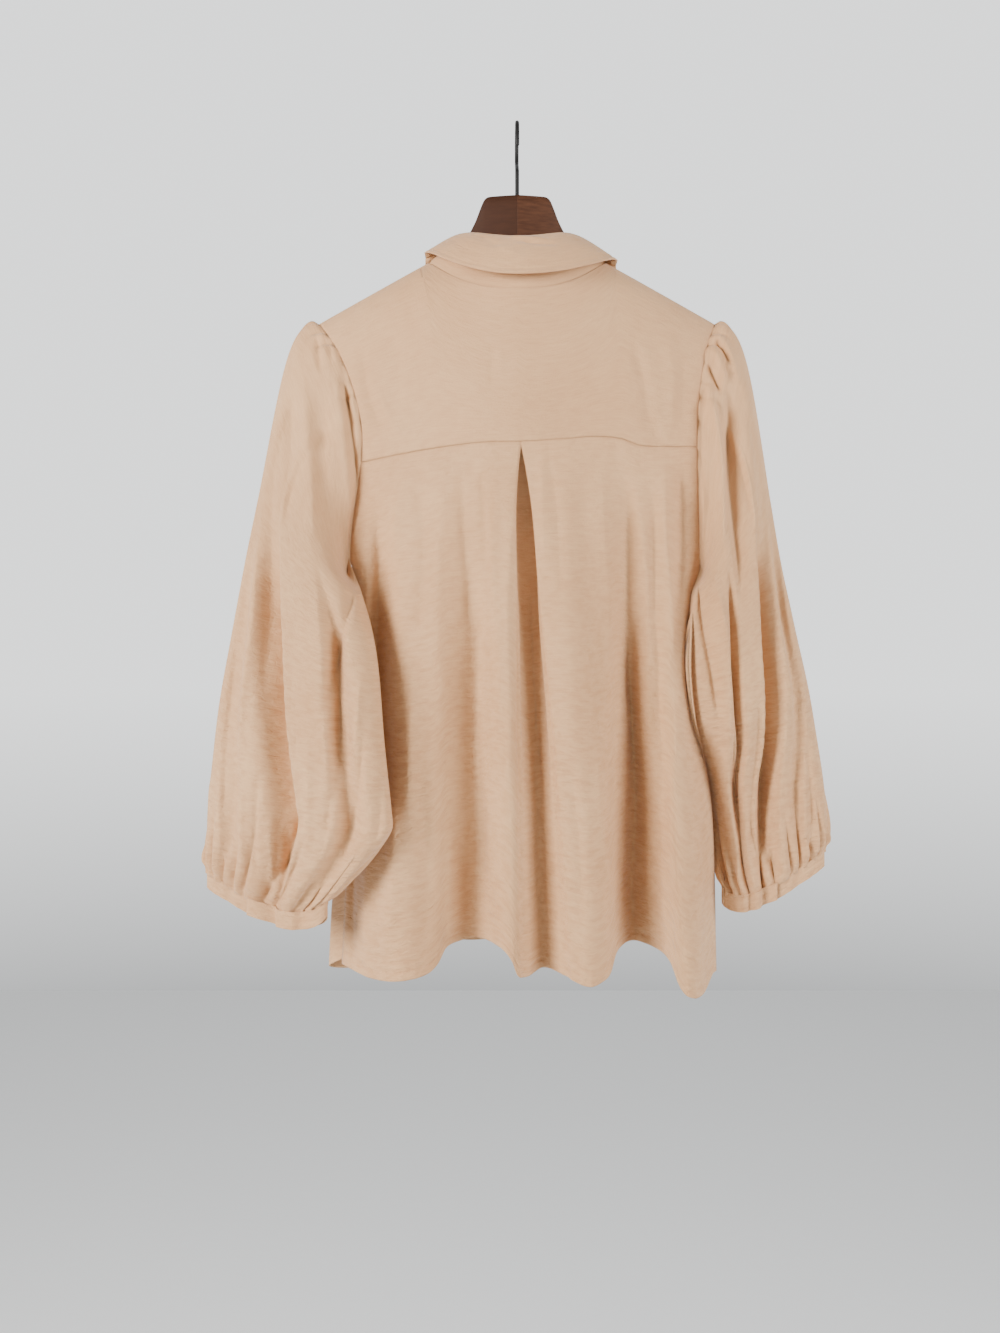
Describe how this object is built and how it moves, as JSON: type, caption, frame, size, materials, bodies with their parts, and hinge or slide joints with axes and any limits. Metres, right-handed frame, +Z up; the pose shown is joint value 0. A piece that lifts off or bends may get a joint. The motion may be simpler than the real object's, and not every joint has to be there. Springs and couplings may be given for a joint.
{
  "type": "blouse on a hanger",
  "caption": "Loose long-sleeved blouse hung on a wooden hanger: shirt collar, back yoke over an inverted pleat, buttoned front, full sleeves gathered into narrow cuffs.",
  "frame": {"origin": "the top of the inside of the hook, on the wire's inner edge, where a rail or a wall hook carries it", "axes": "+Z up, +Y out of the buttoned front, -Y out of the back with the pleat, +X to the wearer's right, along the hanger"},
  "size_m": [0.623, 0.1308, 0.8559],
  "materials": {
    "cloth": "soft slubby weave with a slight sheen",
    "wood": "satin brown stain",
    "wire": "black, satin",
    "button": "pearly, glossy"
  },
  "bodies": {
    "root": {"yoke": "cloth", "back": "cloth", "front_left": "cloth", "front_right": "cloth", "button_band": "cloth", "collar_stand": "cloth", "collar": "cloth", "sleeve_left": "cloth", "sleeve_right": "cloth", "cuff_left": "cloth", "cuff_right": "cloth", "hanger": "wood", "hook": "wire", "button_1": "button", "button_2": "button", "button_3": "button", "button_4": "button", "button_5": "button", "button_6": "button", "button_7": "button"}
  },
  "joints": []
}
